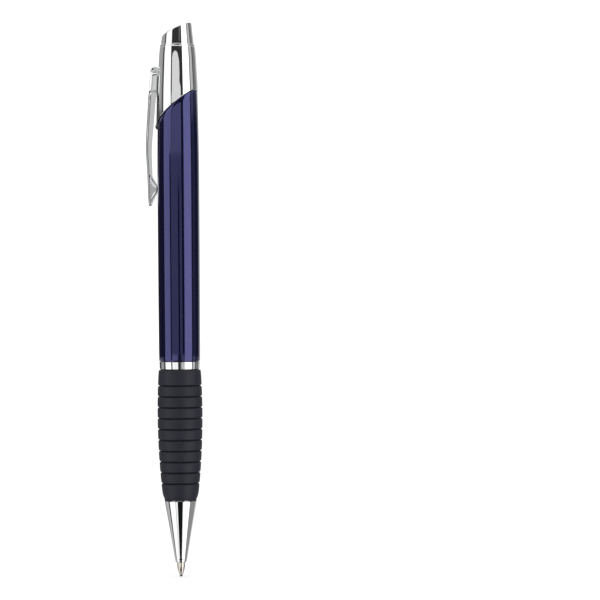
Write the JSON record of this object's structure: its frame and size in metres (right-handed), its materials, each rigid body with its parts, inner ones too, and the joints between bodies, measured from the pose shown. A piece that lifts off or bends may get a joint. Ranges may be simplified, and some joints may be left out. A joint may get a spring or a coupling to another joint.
{
  "type": "retractable ballpoint pen",
  "caption": "Slim retractable ballpoint pen: ribbed rubber grip, chrome nose and slanted cap, blue barrel, bowed pocket clip, click button and a replaceable refill.",
  "frame": {"origin": "on the surface that the writing ball touches, at the centre of the bounding box; the pen's own axis is parallel to +Z at x = +1.215 mm, because the clip reaches out further than the grip", "axes": "+Z from the writing ball to the push button, -X towards the pocket clip"},
  "size_m": [0.0138, 0.0114, 0.1398],
  "materials": {
    "chrome": "mirror-polished chrome plate with very fine handling marks",
    "clip_chrome": "bright chrome plate on stamped spring steel, slightly wavier than the turned parts",
    "blue_lacquer": "dark navy metallic lacquer under a glossy clear coat",
    "grip_rubber": "matte charcoal rubber with a faint blue tint and a fine moulded grain",
    "core_brass": "turned brass, satin",
    "insert_brass": "turned brass, bright",
    "spring_steel": "drawn spring wire",
    "white_plastic": "natural acetal, satin",
    "dark_plastic": "dark acetal, satin",
    "nickel_silver": "turned nickel silver, slightly warm, with fine lathe rings",
    "ball_steel": "polished carbide ball, dark",
    "refill_steel": "drawn steel tube, satin",
    "ink": "dark blue paste ink",
    "plug_plastic": "blue moulded plug, satin"
  },
  "bodies": {
    "front_section": {"nose_cone": "chrome", "rubber_grip": "grip_rubber", "grip_core": "core_brass", "return_spring": "spring_steel"},
    "ring": {"centre_ring": "chrome"},
    "barrel": {"barrel_tube": "blue_lacquer", "thread_insert": "insert_brass", "upper_cap": "chrome", "clip_base": "clip_chrome", "clip_leaf": "clip_chrome", "cam_sleeve": "white_plastic"},
    "clip": {"clip_arm": "clip_chrome"},
    "button": {"push_button": "chrome", "push_rod": "white_plastic"},
    "cam_rotor": {"rotor": "dark_plastic"},
    "refill": {"writing_ball": "ball_steel", "refill_point": "nickel_silver", "refill_nozzle": "insert_brass", "refill_tube": "refill_steel", "ink_column": "ink", "refill_plug": "plug_plastic"}
  },
  "joints": [
    {"name": "button_press", "type": "slide", "parent": "barrel", "child": "button", "axis": [0, 0, 1], "range_m": [-0.0012, 0.005], "stiffness_N_per_m": 200},
    {"name": "refill_slide", "type": "slide", "parent": "front_section", "child": "refill", "axis": [0, 0, 1], "range_m": [-0.0012, 0.005], "deforming": ["return_spring"]},
    {"name": "rotor_turn", "type": "hinge", "parent": "button", "child": "cam_rotor", "pos_m": [0.00121, 0, 0.105], "axis": [0, 0, 1], "range_deg": [-8.75, 36.35]},
    {"name": "clip_flex", "type": "hinge", "parent": "barrel", "child": "clip", "pos_m": [-0.00558, 0, 0.1218], "axis": [0, 1, 0], "range_deg": [0, 5], "stiffness_Nm_per_rad": 0.02},
    {"name": "barrel_unscrew", "type": "slide", "parent": "front_section", "child": "ring", "axis": [0, 0, 1], "range_m": [0, 0.006]},
    {"name": "barrel_turn", "type": "hinge", "parent": "ring", "child": "barrel", "pos_m": [0.00121, 0, 0.055], "axis": [0, 0, 1], "range_deg": [-1, 1082]}
  ],
  "couplings": [
    {"joint": "refill_slide", "follows": "button_press", "ratio": 1},
    {"joint": "rotor_turn", "follows": "button_press", "rad_per_m": 126.68},
    {"joint": "barrel_turn", "follows": "barrel_unscrew", "rad_per_m": 3141.6}
  ]
}
